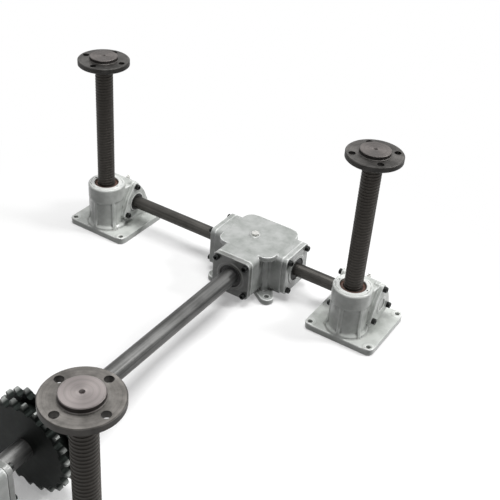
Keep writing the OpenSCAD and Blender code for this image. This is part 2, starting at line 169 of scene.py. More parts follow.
def from_axis(tree: bpy.types.NodeTree, place: bpy.types.NodeSocket, centre: tuple[float, float, float],
              axis: Axis) -> tuple[bpy.types.NodeSocket, bpy.types.NodeSocket]:
    """Finds how far a point lies from a round piece's axis.

    Args:
        tree: The material's node tree.
        place: The point.
        centre: A place on the axis.
        axis: The axis.

    Returns:
        The way from the axis to the point, and its length.
    """
    local = add_node(tree, "ShaderNodeVectorMath", {"operation": "SUBTRACT", 1: centre}, {0: place})
    way = add_node(tree, "ShaderNodeVectorMath", {"operation": "MULTIPLY", 1: axis.value},
                   {0: local.outputs[0]})
    length = add_node(tree, "ShaderNodeVectorMath", {"operation": "LENGTH"}, {0: way.outputs[0]})
    return way.outputs[0], length.outputs["Value"]


# ---------- finishes ----------

@dataclass(frozen=True)
class Finish:
    """A real material and the way its surface was made."""

    name: str
    slot: str
    roughness: float = 0.45
    metallic: float = 0.0

    def build(self, tree: bpy.types.NodeTree, shader: bpy.types.Node) -> None:
        """Adds this finish's pattern. A finish with a pattern overrides this.

        Args:
            tree: The material's node tree.
            shader: Its Principled shader.
        """

    def relief(self, tree: bpy.types.NodeTree, shader: bpy.types.Node, height: bpy.types.NodeSocket,
               depth_mm: float, strength: float = 1.0) -> None:
        """Raises and sinks the surface by a pattern.

        Args:
            tree: The material's node tree.
            shader: Its Principled shader.
            height: The pattern, from 0 to 1.
            depth_mm: The relief's depth.
            strength: How much of it shows.
        """
        bump = add_node(tree, "ShaderNodeBump", {"Strength": strength, "Distance": depth_mm * MM},
                        {"Height": height})
        tree.links.new(bump.outputs["Normal"], shader.inputs["Normal"])

    def vary_gloss(self, tree: bpy.types.NodeTree, shader: bpy.types.Node, pattern: bpy.types.NodeSocket,
                   less: float, more: float) -> None:
        """Lets the roughness follow a pattern.

        Args:
            tree: The material's node tree.
            shader: Its Principled shader.
            pattern: The pattern, from 0 to 1.
            less: How much less rough the surface is where the pattern is 0.
            more: How much rougher it is where the pattern is 1.
        """
        rough = add_node(tree, "ShaderNodeMapRange",
                         {"To Min": self.roughness - less, "To Max": self.roughness + more}, {"Value": pattern})
        tree.links.new(rough.outputs["Result"], shader.inputs["Roughness"])


@lru_cache(maxsize=None)
def material_of(finish: Finish) -> bpy.types.Material:
    """Makes a finish's material once.

    Args:
        finish: The finish.

    Returns:
        Its material, the same one at each call.
    """
    material = bpy.data.materials.new(finish.name)
    material.use_nodes = True
    tree = material.node_tree
    tree.nodes.clear()
    shader = add_node(tree, "ShaderNodeBsdfPrincipled",
                      {"Roughness": finish.roughness, "Metallic": finish.metallic})
    add_node(tree, "ShaderNodeOutputMaterial", links={"Surface": shader.outputs["BSDF"]})
    finish.build(tree, shader)
    return material


@dataclass(frozen=True)
class EnamelOnSandCastIron(Finish):
    """Silver-grey enamel over sand-cast iron: satin and a little cloudy, with grime and painted shade in
    corners, and pale worn edges that are also a painted highlight.
    """

    name: str = "silver_enamel_on_sand_cast_iron"
    slot: str = "casting"
    roughness: float = 0.3
    paint: str = "#ABADAB"
    thin_paint: str = "#8A8E8A"
    worn_edge_and_highlight: str = "#E4E6E4"
    grime_and_painted_shade: str = "#45443F"
    lacquer: float = 0.55
    lacquer_roughness: float = 0.16
    blotch_mm: float = 38.0
    # moulding sand is about 0.3 mm; it is drawn at 1.6 mm to show
    sand_mm: float = 1.6
    sand_depth_mm: float = 0.22
    # the bend, where 0.5 is flat, at which an edge starts to wear and is worn, and the most wear; the pale worn
    # edge is also a painted highlight
    worn_and_highlit_bend: tuple[float, float, float] = (0.506, 0.54, 0.95)
    # the same for the grime that stays in hollows, which is also painted shade
    grimy_and_shaded_bend: tuple[float, float, float] = (0.494, 0.45, 0.92)
    # the middle of a weeping shaft seal, if there is one, whose dark oil has spread over the paint; the dark
    # patch is also painted shade round the shaft
    oil_and_shade_centre: tuple[float, float, float] | None = None
    oil_and_shade_start: float = 0.054
    oil_and_shade_end: float = 0.1
    oil_and_shade_ragged: float = 0.03
    oil_and_shade_share: float = 0.85
    oil_and_shade_colour: str = "#33322D"

    def build(self, tree: bpy.types.NodeTree, shader: bpy.types.Node) -> None:
        """Adds the paint's clouds, the grime and painted shade in the corners, the worn edges with their
        painted highlight, and the sand grain.

        Args:
            tree: The material's node tree.
            shader: Its Principled shader.
        """
        shader.inputs["Coat Weight"].default_value = self.lacquer
        shader.inputs["Coat Roughness"].default_value = self.lacquer_roughness
        place = add_node(tree, "ShaderNodeTexCoord").outputs["Object"]
        cloud = add_node(tree, "ShaderNodeTexNoise",
                         {"Scale": per_metre(self.blotch_mm), "Detail": 5.0, "Roughness": 0.6},
                         {"Vector": place})
        paint = add_node(tree, "ShaderNodeValToRGB", links={"Fac": cloud.outputs["Fac"]})
        set_stops(paint, [(0.34, self.thin_paint), (0.62, self.paint)])
        bend = add_node(tree, "ShaderNodeNewGeometry").outputs["Pointiness"]
        surface = paint.outputs["Color"]
        # pale worn edges double as a painted highlight, and grime in the hollows as painted shade
        for (start, full, most), colour in ((self.worn_and_highlit_bend, self.worn_edge_and_highlight), (self.grimy_and_shaded_bend, self.grime_and_painted_shade)):
            share = add_node(tree, "ShaderNodeMapRange", {"From Min": start, "From Max": full, "To Max": most},
                             {"Value": bend})
            surface = add_node(tree, "ShaderNodeMix", {"data_type": "RGBA", 7: linear(colour)},
                               {0: share.outputs["Result"], 6: surface}).outputs[2]
        # dark oil round the seal, which is also painted shade round the shaft
        if self.oil_and_shade_centre:
            away = add_node(tree, "ShaderNodeVectorMath", {"operation": "DISTANCE", 1: self.oil_and_shade_centre}, {0: place})
            ragged = add_node(tree, "ShaderNodeMath", {"operation": "MULTIPLY_ADD", 1: self.oil_and_shade_ragged},
                              {0: cloud.outputs["Fac"], 2: away.outputs["Value"]})
            wet = add_node(tree, "ShaderNodeMapRange",
                           {"From Min": self.oil_and_shade_start, "From Max": self.oil_and_shade_end,
                            "To Min": self.oil_and_shade_share, "To Max": 0.0},
                           {"Value": ragged.outputs[0]})
            surface = add_node(tree, "ShaderNodeMix", {"data_type": "RGBA", 7: linear(self.oil_and_shade_colour)},
                               {0: wet.outputs["Result"], 6: surface}).outputs[2]
        tree.links.new(surface, shader.inputs["Base Color"])
        sand = add_node(tree, "ShaderNodeTexNoise",
                        {"Scale": per_metre(self.sand_mm), "Detail": 3.0, "Roughness": 0.55}, {"Vector": place})
        self.relief(tree, shader, sand.outputs["Fac"], self.sand_depth_mm, 0.55)
        self.vary_gloss(tree, shader, cloud.outputs["Fac"], less=0.08, more=0.16)


@dataclass(frozen=True)
class OiledThreadSteel(Finish):
    """Whirled thread in oiled carbon steel: brown-black, with old grease between slightly lighter crests."""

    name: str = "oiled_whirled_carbon_steel"
    slot: str = "screw_steel"
    roughness: float = 0.46
    metallic: float = 0.6
    grease: str = "#322F2B"
    crest: str = "#393531"
    grease_r: float = 0.0189
    crest_r: float = 0.0199
    smear_mm: float = 22.0

    def build(self, tree: bpy.types.NodeTree, shader: bpy.types.Node) -> None:
        """Adds the grease in the groove, the cleaner crests and smears of oil.

        Args:
            tree: The material's node tree.
            shader: Its Principled shader.
        """
        place = add_node(tree, "ShaderNodeTexCoord").outputs["Object"]
        _, radius = from_axis(tree, place, (0, 0, 0), Axis.Z)
        smear = add_node(tree, "ShaderNodeTexNoise",
                         {"Scale": per_metre(self.smear_mm), "Detail": 4.0, "Roughness": 0.65},
                         {"Vector": place})
        height = add_node(tree, "ShaderNodeMapRange", {"From Min": self.grease_r, "From Max": self.crest_r},
                          {"Value": radius})
        shown = add_node(tree, "ShaderNodeMath", {"operation": "MULTIPLY"},
                         {0: height.outputs["Result"], 1: smear.outputs["Fac"]})
        colour = add_node(tree, "ShaderNodeValToRGB", links={"Fac": shown.outputs[0]})
        set_stops(colour, [(0.1, self.grease), (0.62, self.crest)])
        tree.links.new(colour.outputs["Color"], shader.inputs["Base Color"])
        self.vary_gloss(tree, shader, smear.outputs["Fac"], less=0.14, more=0.2)


@dataclass(frozen=True)
class TurnedSteel(Finish):
    """Steel faced on a lathe, then handled: fine rings round the centre, with a dull oily film, and dark oil
    with painted shade on its upright faces.
    """

    name: str = "turned_carbon_steel"
    slot: str = "plate_steel"
    roughness: float = 0.44
    metallic: float = 0.8
    dull: str = "#3A3937"
    clean: str = "#555351"
    boss: str = "#625D5B"
    boss_r: float = 0.0305
    boss_edge: float = 0.0012
    boss_share: float = 0.8
    centre: tuple[float, float, float] = (0.0, 0.0, 0.0)
    # feed marks are about 0.2 mm apart; they are drawn at 1.1 mm to show
    feed_mm: float = 1.1
    feed_depth_mm: float = 0.05
    # a worn tool cuts bands of darker and lighter steel
    band_mm: float = 4.0
    band_tones: tuple[float, float] = (0.84, 1.1)
    film_mm: float = 26.0
    # the rings stretch a highlight into a bow tie across them
    stretch: float = 0.6
    # rims and holes aren't wiped, so their oil has gone dark; this darkening of every upright face is also
    # painted shade
    unwiped_and_shaded: float = 0.6

    def build(self, tree: bpy.types.NodeTree, shader: bpy.types.Node) -> None:
        """Adds the lathe's rings and bands, the cleaner boss, the oily film, and dark oil with painted shade on
        the upright faces.

        Args:
            tree: The material's node tree.
            shader: Its Principled shader.
        """
        place = add_node(tree, "ShaderNodeTexCoord").outputs["Object"]
        outward, radius = from_axis(tree, place, self.centre, Axis.Z)
        along = add_node(tree, "ShaderNodeVectorMath", {"operation": "CROSS_PRODUCT", 0: (0, 0, 1)},
                         {1: outward})
        shader.inputs["Anisotropic"].default_value = self.stretch
        tree.links.new(along.outputs[0], shader.inputs["Tangent"])
        film = add_node(tree, "ShaderNodeTexNoise",
                        {"Scale": per_metre(self.film_mm), "Detail": 6.0, "Roughness": 0.62}, {"Vector": place})
        face = add_node(tree, "ShaderNodeValToRGB", links={"Fac": film.outputs["Fac"]})
        set_stops(face, [(0.36, self.dull), (0.64, self.clean)])
        inside = add_node(tree, "ShaderNodeMapRange",
                          {"From Min": self.boss_r + self.boss_edge, "From Max": self.boss_r,
                           "To Max": self.boss_share},
                          {"Value": radius})
        colour = add_node(tree, "ShaderNodeMix", {"data_type": "RGBA", 7: linear(self.boss)},
                          {0: inside.outputs["Result"], 6: face.outputs["Color"]})
        tool = add_node(tree, "ShaderNodeTexNoise",
                        {"noise_dimensions": "1D", "Scale": per_metre(self.band_mm), "Detail": 3.0},
                        {"W": radius})
        darkest, lightest = self.band_tones
        tone = add_node(tree, "ShaderNodeMapRange",
                        {"From Min": 0.3, "From Max": 0.7, "To Min": darkest, "To Max": lightest},
                        {"Value": tool.outputs["Fac"]})
        banded = add_node(tree, "ShaderNodeVectorMath", {"operation": "SCALE"},
                          {0: colour.outputs[2], "Scale": tone.outputs["Result"]})
        # upright faces, such as rims, hole walls and the boss's side, get dark oil and painted shade
        facing = add_node(tree, "ShaderNodeSeparateXYZ",
                          links={0: add_node(tree, "ShaderNodeNewGeometry").outputs["Normal"]})
        level = add_node(tree, "ShaderNodeMath", {"operation": "ABSOLUTE"}, {0: facing.outputs["Z"]})
        upright_darkening = add_node(tree, "ShaderNodeMapRange",
                         {"From Min": 0.3, "From Max": 0.9, "To Min": self.unwiped_and_shaded},
                         {"Value": level.outputs[0]})
        darkened_colour = add_node(tree, "ShaderNodeVectorMath", {"operation": "SCALE"},
                         {0: banded.outputs[0], "Scale": upright_darkening.outputs["Result"]})
        tree.links.new(darkened_colour.outputs[0], shader.inputs["Base Color"])
        turns = add_node(tree, "ShaderNodeMath",
                         {"operation": "MULTIPLY", 1: 2 * math.pi * per_metre(self.feed_mm)}, {0: radius})
        ring = add_node(tree, "ShaderNodeMath", {"operation": "SINE"}, {0: turns.outputs[0]})
        self.relief(tree, shader, ring.outputs[0], self.feed_depth_mm, 0.5)
        self.vary_gloss(tree, shader, film.outputs["Fac"], less=0.1, more=0.18)


@dataclass(frozen=True)
class DrawnSteel(Finish):
    """Cold drawn steel bar or tube: long streaks from the die, with thin rust and oil between them."""

    name: str = "cold_drawn_steel_bar"
    slot: str = "shaft_steel"
    roughness: float = 0.43
    metallic: float = 0.9
    dark: str = "#353432"
    light: str = "#52504D"
    grain: Grain = Grain.ALONG_X
    streak_mm: float = 5.0
    # rust and old oil lie in patches that are much wider than the streaks
    patch_mm: float = 60.0
    patch_share: float = 0.4
    scratch_mm: float = 1.2
    scratch_depth_mm: float = 0.04

    def build(self, tree: bpy.types.NodeTree, shader: bpy.types.Node) -> None:
        """Adds the die's streaks, the patches of rust and oil, and the fine scratches.

        Args:
            tree: The material's node tree.
            shader: Its Principled shader.
        """
        place = add_node(tree, "ShaderNodeTexCoord").outputs["Object"]
        drawn = add_node(tree, "ShaderNodeVectorMath", {"operation": "MULTIPLY", 1: self.grain.value},
                         {0: place})
        streak = add_node(tree, "ShaderNodeTexNoise",
                          {"Scale": per_metre(self.streak_mm), "Detail": 5.0, "Roughness": 0.6},
                          {"Vector": drawn.outputs[0]})
        patch = add_node(tree, "ShaderNodeTexNoise",
                         {"Scale": per_metre(self.patch_mm), "Detail": 4.0, "Roughness": 0.6},
                         {"Vector": place})
        mixed = add_node(tree, "ShaderNodeMix", {"data_type": "FLOAT", 0: self.patch_share},
                         {2: streak.outputs["Fac"], 3: patch.outputs["Fac"]})
        colour = add_node(tree, "ShaderNodeValToRGB", links={"Fac": mixed.outputs[0]})
        set_stops(colour, [(0.38, self.dark), (0.62, self.light)])
        tree.links.new(colour.outputs["Color"], shader.inputs["Base Color"])
        scratch = add_node(tree, "ShaderNodeTexNoise",
                           {"Scale": per_metre(self.scratch_mm), "Detail": 2.0}, {"Vector": drawn.outputs[0]})
        self.relief(tree, shader, scratch.outputs["Fac"], self.scratch_depth_mm, 0.5)
        self.vary_gloss(tree, shader, mixed.outputs[0], less=0.1, more=0.16)


@dataclass(frozen=True)
class BlackOxideSteel(Finish):
    """Forged socket screws with black oxide: a deep satin black, greyer where hands and keys rub it."""

    name: str = "black_oxide_socket_screws"
    slot: str = "black_steel"
    roughness: float = 0.34
    metallic: float = 0.75
    black: str = "#191B1A"
    worn: str = "#2C2D2C"
    mottle_mm: float = 9.0
    pit_depth_mm: float = 0.12

    def build(self, tree: bpy.types.NodeTree, shader: bpy.types.Node) -> None:
        """Adds the oxide's mottle and its pitted surface.

        Args:
            tree: The material's node tree.
            shader: Its Principled shader.
        """
        place = add_node(tree, "ShaderNodeTexCoord").outputs["Object"]
        mottle = add_node(tree, "ShaderNodeTexNoise",
                          {"Scale": per_metre(self.mottle_mm), "Detail": 5.0, "Roughness": 0.65},
                          {"Vector": place})
        colour = add_node(tree, "ShaderNodeValToRGB", links={"Fac": mottle.outputs["Fac"]})
        set_stops(colour, [(0.42, self.black), (0.72, self.worn)])
        tree.links.new(self.rub(tree, place, colour.outputs["Color"]), shader.inputs["Base Color"])
        self.relief(tree, shader, mottle.outputs["Fac"], self.pit_depth_mm, 0.35)

    def rub(self, tree: bpy.types.NodeTree, place: bpy.types.NodeSocket,
            colour: bpy.types.NodeSocket) -> bpy.types.NodeSocket:
        """The colour after other pieces have rubbed it, which is unchanged on a plain piece."""
        return colour


@dataclass(frozen=True)
class ChainWornSteel(BlackOxideSteel):
    """Black oxide on a milled chain wheel: nearly black, and bare grey steel where the chain rubs the teeth."""

    name: str = "black_oxide_steel_worn_by_chain"
    roughness: float = 0.5
    metallic: float = 0.9
    black: str = "#0B0F0D"
    worn: str = "#1B1F1D"
    tips: str = "#747674"
    mottle_mm: float = 24.0
    centre: tuple[float, float, float] = (0.0, 0.0, 0.0)
    worn_from_r: float = 0.0885
    worn_to_r: float = 0.0965

    def rub(self, tree: bpy.types.NodeTree, place: bpy.types.NodeSocket,
            colour: bpy.types.NodeSocket) -> bpy.types.NodeSocket:
        """Adds the bare steel on the tooth tips.

        Args:
            tree: The material's node tree.
            place: The point on the piece.
            colour: The black oxide's colour.

        Returns:
            The colour, which goes to bare steel at the tips.
        """
        _, radius = from_axis(tree, place, self.centre, Axis.Y)
        tip = add_node(tree, "ShaderNodeMapRange", {"From Min": self.worn_from_r, "From Max": self.worn_to_r},
                       {"Value": radius})
        return add_node(tree, "ShaderNodeMix", {"data_type": "RGBA", 7: linear(self.tips)},
                        {0: tip.outputs["Result"], 6: colour}).outputs[2]


@dataclass(frozen=True)
class PlainMetal(Finish):
    """A machined or plated metal of one colour with a faint mottle, for small and inner pieces."""

    roughness: float = 0.34
    metallic: float = 1.0
    colour: str = "#8B8C8E"
    shade: str = "#6E6E70"
    mottle_mm: float = 6.0
    mark_depth_mm: float = 0.04

    def build(self, tree: bpy.types.NodeTree, shader: bpy.types.Node) -> None:
        """Adds the mottle and a faint tool mark.

        Args:
            tree: The material's node tree.
            shader: Its Principled shader.
        """
        place = add_node(tree, "ShaderNodeTexCoord").outputs["Object"]
        mottle = add_node(tree, "ShaderNodeTexNoise",
                          {"Scale": per_metre(self.mottle_mm), "Detail": 4.0}, {"Vector": place})
        colour = add_node(tree, "ShaderNodeValToRGB", links={"Fac": mottle.outputs["Fac"]})
        set_stops(colour, [(0.35, self.shade), (0.65, self.colour)])
        tree.links.new(colour.outputs["Color"], shader.inputs["Base Color"])
        self.relief(tree, shader, mottle.outputs["Fac"], self.mark_depth_mm, 0.4)


@dataclass(frozen=True)
class MouldedNitrile(Finish):
    """Moulded nitrile rubber: dull black with a faint bloom."""

    name: str = "moulded_nitrile_rubber"
    slot: str = "seal_rubber"
    roughness: float = 0.62
    black: str = "#161616"
    bloom: str = "#2A2A29"
    bloom_mm: float = 4.0

    def build(self, tree: bpy.types.NodeTree, shader: bpy.types.Node) -> None:
        """Adds the bloom.

        Args:
            tree: The material's node tree.
            shader: Its Principled shader.
        """
        place = add_node(tree, "ShaderNodeTexCoord").outputs["Object"]
        bloom = add_node(tree, "ShaderNodeTexNoise", {"Scale": per_metre(self.bloom_mm), "Detail": 4.0},
                         {"Vector": place})
        colour = add_node(tree, "ShaderNodeValToRGB", links={"Fac": bloom.outputs["Fac"]})
        set_stops(colour, [(0.4, self.black), (0.7, self.bloom)])
        tree.links.new(colour.outputs["Color"], shader.inputs["Base Color"])


@dataclass(frozen=True)
class GreasyFelt(Finish):
    """Pressed felt soaked in brown grease: dark, fibrous and wet in patches."""

    name: str = "pressed_felt_soaked_in_grease"
    slot: str = "wiper_felt"
    roughness: float = 0.5
    dark: str = "#35231C"
    light: str = "#6B4A3A"
    # tufts of fibre, and the wider patches where grease has soaked in
    fibre_mm: float = 1.5
    fibre_depth_mm: float = 0.4
    wet_mm: float = 12.0

    def build(self, tree: bpy.types.NodeTree, shader: bpy.types.Node) -> None:
        """Adds the fibres, and grease that is wet in some places.

        Args:
            tree: The material's node tree.
            shader: Its Principled shader.
        """
        place = add_node(tree, "ShaderNodeTexCoord").outputs["Object"]
        fibre = add_node(tree, "ShaderNodeTexNoise",
                         {"Scale": per_metre(self.fibre_mm), "Detail": 6.0, "Roughness": 0.75},
                         {"Vector": place})
        wet = add_node(tree, "ShaderNodeTexNoise", {"Scale": per_metre(self.wet_mm), "Detail": 2.0},
                       {"Vector": place})
        colour = add_node(tree, "ShaderNodeValToRGB", links={"Fac": fibre.outputs["Fac"]})
        set_stops(colour, [(0.3, self.dark), (0.7, self.light)])
        tree.links.new(colour.outputs["Color"], shader.inputs["Base Color"])
        self.vary_gloss(tree, shader, wet.outputs["Fac"], less=0.35, more=0.35)
        self.relief(tree, shader, fibre.outputs["Fac"], self.fibre_depth_mm, 0.8)


ENAMEL = EnamelOnSandCastIron()
# the jacks had a second, lighter coat
JACK_ENAMEL = EnamelOnSandCastIron(name="light_silver_enamel_on_sand_cast_iron", paint="#CED1CD",
                                   thin_paint="#ACB0AB", worn_edge_and_highlight="#F2F4F1")
THREAD = OiledThreadSteel()
PLATE = TurnedSteel()
# the one in the foreground is brighter than the others
BRIGHTER_PLATE = TurnedSteel(dull="#474542", clean="#65625F", boss="#777170")
BAR = DrawnSteel()
TUBE = DrawnSteel(name="cold_drawn_steel_tube", slot="tube_steel", grain=Grain.ALONG_Y,
                  dark="#4B4B4A", light="#6B6B6A")
BLACK_SCREWS = BlackOxideSteel()
# hardened and ground, so close to a mirror where it isn't greasy
GROUND_STEEL = PlainMetal(name="ground_bearing_steel", slot="steel_bright", roughness=0.2, colour="#A9AAAD")
# case hardened after milling, which leaves it grey and satin
MILLED_STEEL = PlainMetal(name="milled_gear_steel", slot="steel_bright")
# centrifugally cast and hobbed, golden brown with a soft shine
BRONZE = PlainMetal(name="hobbed_tin_bronze", slot="bronze", roughness=0.36, colour="#A8854D", shade="#8A6A3A")
# zinc plate gone dull under a thin coat of the same enamel
PLUG = PlainMetal(name="zinc_plated_plug", slot="brass", roughness=0.42, colour="#D8D8D4", shade="#B8B8B4")
NITRILE = MouldedNitrile()
FELT = GreasyFelt()


# ---------- pieces ----------

def middle(low: Vector, high: Vector) -> Vector:
    """The point halfway between a box's corners."""
    return (low + high) / 2


def stand(axis: Vector, row: Row) -> Matrix:
    """Works out where a casting stands.

    Args:
        axis: A point on the casting's upright axis.
        row: The casting's row.

    Returns:
        Its place on the mounting plane and its turn.
    """
    return Matrix.Translation((axis.x, axis.y, 0)) @ Matrix.Rotation(row.value * math.pi / 2, 4, "Z")


def dress(node: str, finish: Finish) -> None:
    """Gives a CAD node its finish.

    Args:
        node: The node's name.
        finish: Its finish.
    """
    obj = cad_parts[node]
    obj.data.materials.clear()
    obj.data.materials.append(material_of(finish))


def add_piece(name: str, mesh: bpy.types.Mesh, place: Matrix, finish: Finish, body: str,
              *nodes: str) -> None:
    """Adds a piece that stands for one or more CAD nodes.

    Args:
        name: The piece's name.
        mesh: Its mesh, in its own coordinates.
        place: Where it goes.
        finish: Its finish.
        body: The CAD body that it rides on.
        *nodes: The CAD nodes that it stands for.
    """
    if not mesh.materials:
        mesh.materials.append(material_of(finish))
    obj = bpy.data.objects.new(name, mesh)
    bpy.context.scene.collection.objects.link(obj)
    obj.matrix_world = place
    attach(obj, body)
    if nodes:
        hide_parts(*nodes)
    log.info("%s: %d faces on %s", name, len(mesh.polygons), body)


def mesh_of(name: str, build: Callable[[bmesh.types.BMesh], None]) -> bpy.types.Mesh:
    """Makes a smooth-shaded mesh with one building function.

    Args:
        name: The mesh's name.
        build: The function that fills the bmesh.

    Returns:
        The mesh.
    """
    bm = bmesh.new()
    build(bm)
    bmesh.ops.recalc_face_normals(bm, faces=bm.faces)
    mesh = bpy.data.meshes.new(name)
    bm.to_mesh(mesh)
    bm.free()
    mesh.shade_smooth()
    return mesh


@dataclass(frozen=True)
class CastSkin:
    """The outer skin of a casting: its CAD shape with the soft corners that a sand mould leaves."""

    voxel_mm: float = 1.5
    rounds: int = 5
    round_share: float = 0.5
    share_kept: float = 0.4
    wave_mm: float = 0.25
    wave_pitch_mm: float = 28.0
    weld_mm: float = 0.01

    def soften(self, node: str, local: Matrix) -> bpy.types.Mesh:
        """Makes the softened copy of a CAD node.

        Args:
            node: The node's name.
            local: The matrix from the CAD model's coordinates to the copy's own.

        Returns:
            The copy's mesh, no larger than the node.
        """
        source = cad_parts[node]
        bm = bmesh.new()
        bm.from_mesh(source.data)
        bmesh.ops.remove_doubles(bm, verts=bm.verts, dist=self.weld_mm * MM)
        rough = bpy.data.meshes.new(f"{node}_rough")
        bm.to_mesh(rough)
        bm.free()
        work = bpy.data.objects.new(f"{node}_work", rough)
        bpy.context.scene.collection.objects.link(work)
        remesh = work.modifiers.new("sand_mould", "REMESH")
        remesh.mode = "VOXEL"
        remesh.voxel_size = self.voxel_mm * MM
        soft = work.modifiers.new("fillets", "SMOOTH")
        soft.factor = self.round_share
        soft.iterations = self.rounds
        thin = work.modifiers.new("fewer", "DECIMATE")
        thin.ratio = self.share_kept
        bpy.context.view_layer.update()
        made = bpy.data.meshes.new_from_object(work.evaluated_get(bpy.context.evaluated_depsgraph_get()))
        made.name = f"{node}_skin"
        bpy.data.objects.remove(work)
        bpy.data.meshes.remove(rough)
        made.materials.clear()
        low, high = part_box(node)
        points = [(vertex.co.copy(), vertex.normal.copy()) for vertex in made.vertices]
        moved = []
        for point, out in points:
            sunk = abs(noise.noise(point * per_metre(self.wave_pitch_mm))) * self.wave_mm * MM
            place = point - out * sunk
            moved.extend(min(max(place[i], low[i]), high[i]) for i in range(3))
        made.vertices.foreach_set("co", moved)
        made.transform(local)
        made.shade_smooth()
        return made


@dataclass(frozen=True)
class TrapezoidThread:
    """A single-start trapezoidal thread on a straight spindle, from z = low to z = high.

    Old grease fills the groove, which is 4 mm deep when it is clean, up to depth_mm below the crest.
    """

    radius_mm: float = 20.0
    depth_mm: float = 1.2
    pitch_mm: float = 7.0
    low_mm: float = 26.0
    high_mm: float = 414.5
    steps: int = 36
    # the crest's corners are rounded by this much
    corner_mm: float = 0.25
    crisp_degrees: float = 38.0
    flat_mm: float = 0.0001
    sliver_mm: float = 0.001

    def mesh(self) -> bpy.types.Mesh:
        """Makes the spindle's mesh, with closed ends.

        Returns:
            The mesh, round the Z axis.
        """
        root = self.radius_mm - self.depth_mm
        corner = self.radius_mm - self.corner_mm
        # one pitch of the profile, by shares of the pitch: grease, rising flank, crest, falling flank
        profile = [(0.0, root), (0.50, root), (0.56, corner), (0.59, self.radius_mm), (0.91, self.radius_mm),
                   (0.94, corner)]
        turns = math.ceil((self.high_mm - self.low_mm) / self.pitch_mm) + 2
        start = self.low_mm - self.pitch_mm

        def build(bm: bmesh.types.BMesh) -> None:
            """Winds the profile up the spindle, then cuts the ends square.

            Args:
                bm: The bmesh to fill.
            """
            rings = [[bm.verts.new(self.point(start, i, share, r)) for share, r in profile]
                     for i in range(turns * self.steps + 1)]
            for i in range(turns * self.steps):
                for k in range(len(profile) - 1):
                    bm.faces.new((rings[i][k], rings[i + 1][k], rings[i + 1][k + 1], rings[i][k + 1]))
                above = i + self.steps
                if above < turns * self.steps:
                    bm.faces.new((rings[i][-1], rings[i + 1][-1], rings[above + 1][0], rings[above][0]))
            for height, up in ((self.low_mm, -1), (self.high_mm, 1)):
                geometry = bm.verts[:] + bm.edges[:] + bm.faces[:]
                bmesh.ops.bisect_plane(bm, geom=geometry, plane_co=(0, 0, height * MM), plane_no=(0, 0, up),
                                       clear_outer=True)
                rim = [e for e in bm.edges if e.is_boundary
                       and all(abs(v.co.z - height * MM) < self.flat_mm * MM for v in e.verts)]
                bmesh.ops.edgeloop_fill(bm, edges=rim)
            # cuts that just miss a corner leave slivers of no width
            bmesh.ops.dissolve_degenerate(bm, dist=self.sliver_mm * MM, edges=bm.edges[:])

        mesh = mesh_of("trapezoid_thread", build)
        mesh.set_sharp_from_angle(angle=math.radians(self.crisp_degrees))
        return mesh

    def point(self, start: float, i: int, share: float, radius: float) -> tuple[float, float, float]:
        """A point of the thread.

        Args:
            start: The height at which the winding starts, in millimetres.
            i: The number of steps round the spindle.
            share: The place along one pitch, from 0 to 1.
            radius: The distance from the axis, in millimetres.

        Returns:
            The point, in metres.
        """
        angle = 2 * math.pi * i / self.steps
        rise = start + self.pitch_mm * (i / self.steps + share)
        return radius * math.cos(angle) * MM, radius * math.sin(angle) * MM, rise * MM


# ---------- sub-assemblies ----------

@dataclass
class Jack:
    """One worm screw jack: casting, two covers, worm gearing, lifting screw and top plate."""

    row: Row
    side: Side
    plate: TurnedSteel = PLATE
    cover_skin: CastSkin = CastSkin(voxel_mm=1.0, rounds=3, share_kept=0.35)
    name: str = field(init=False)
    place: Matrix = field(init=False)

    def __post_init__(self) -> None:
        """Reads where the CAD model has this jack."""
        self.name = f"{self.row.name.lower()}_{self.side.value}"
        low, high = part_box(f"lifting_screw_{self.name}")
        self.place = stand(middle(low, high), self.row)

    def add_casting(self, skin: bpy.types.Mesh) -> None:
        """Adds the housing and its covers.

        Args:
            skin: The softened housing, which all four jacks share.
        """
        add_piece(f"jack_casting_{self.name}", skin, self.place, JACK_ENAMEL, "frame",
                  f"jack_housing_{self.name}")
        for cover in ("drive_cover", "blind_cover"):
            node = f"{cover}_{self.name}"
            made = self.cover_skin.soften(node, Matrix.Identity(4))
            add_piece(f"{node}_casting", made, Matrix.Identity(4), JACK_ENAMEL, "frame", node)

    def add_screw(self, thread: bpy.types.Mesh) -> None:
        """Adds the threaded lifting screw and dresses the top plate.

        Args:
            thread: The spindle's mesh, which all four jacks share.
        """
        add_piece(f"lifting_thread_{self.name}", thread, self.place, THREAD, f"screw_{self.name}",
                  f"lifting_screw_{self.name}")
        low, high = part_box(f"top_plate_{self.name}")
        dress(f"top_plate_{self.name}",
              replace(self.plate, name=f"{self.plate.name}_{self.name}", centre=tuple(middle(low, high))))

    def add_gearing(self) -> None:
        """Dresses the worm wheel and the worm."""
        dress(f"worm_wheel_{self.name}", BRONZE)
        dress(f"worm_{self.name}", MILLED_STEEL)

    def build(self, skin: bpy.types.Mesh, thread: bpy.types.Mesh) -> None:
        """Builds the jack.

        Args:
            skin: The softened housing.
            thread: The spindle's mesh.
        """
        self.add_casting(skin)
        self.add_screw(thread)
        self.add_gearing()
        log.info("jack %s is dressed", self.name)


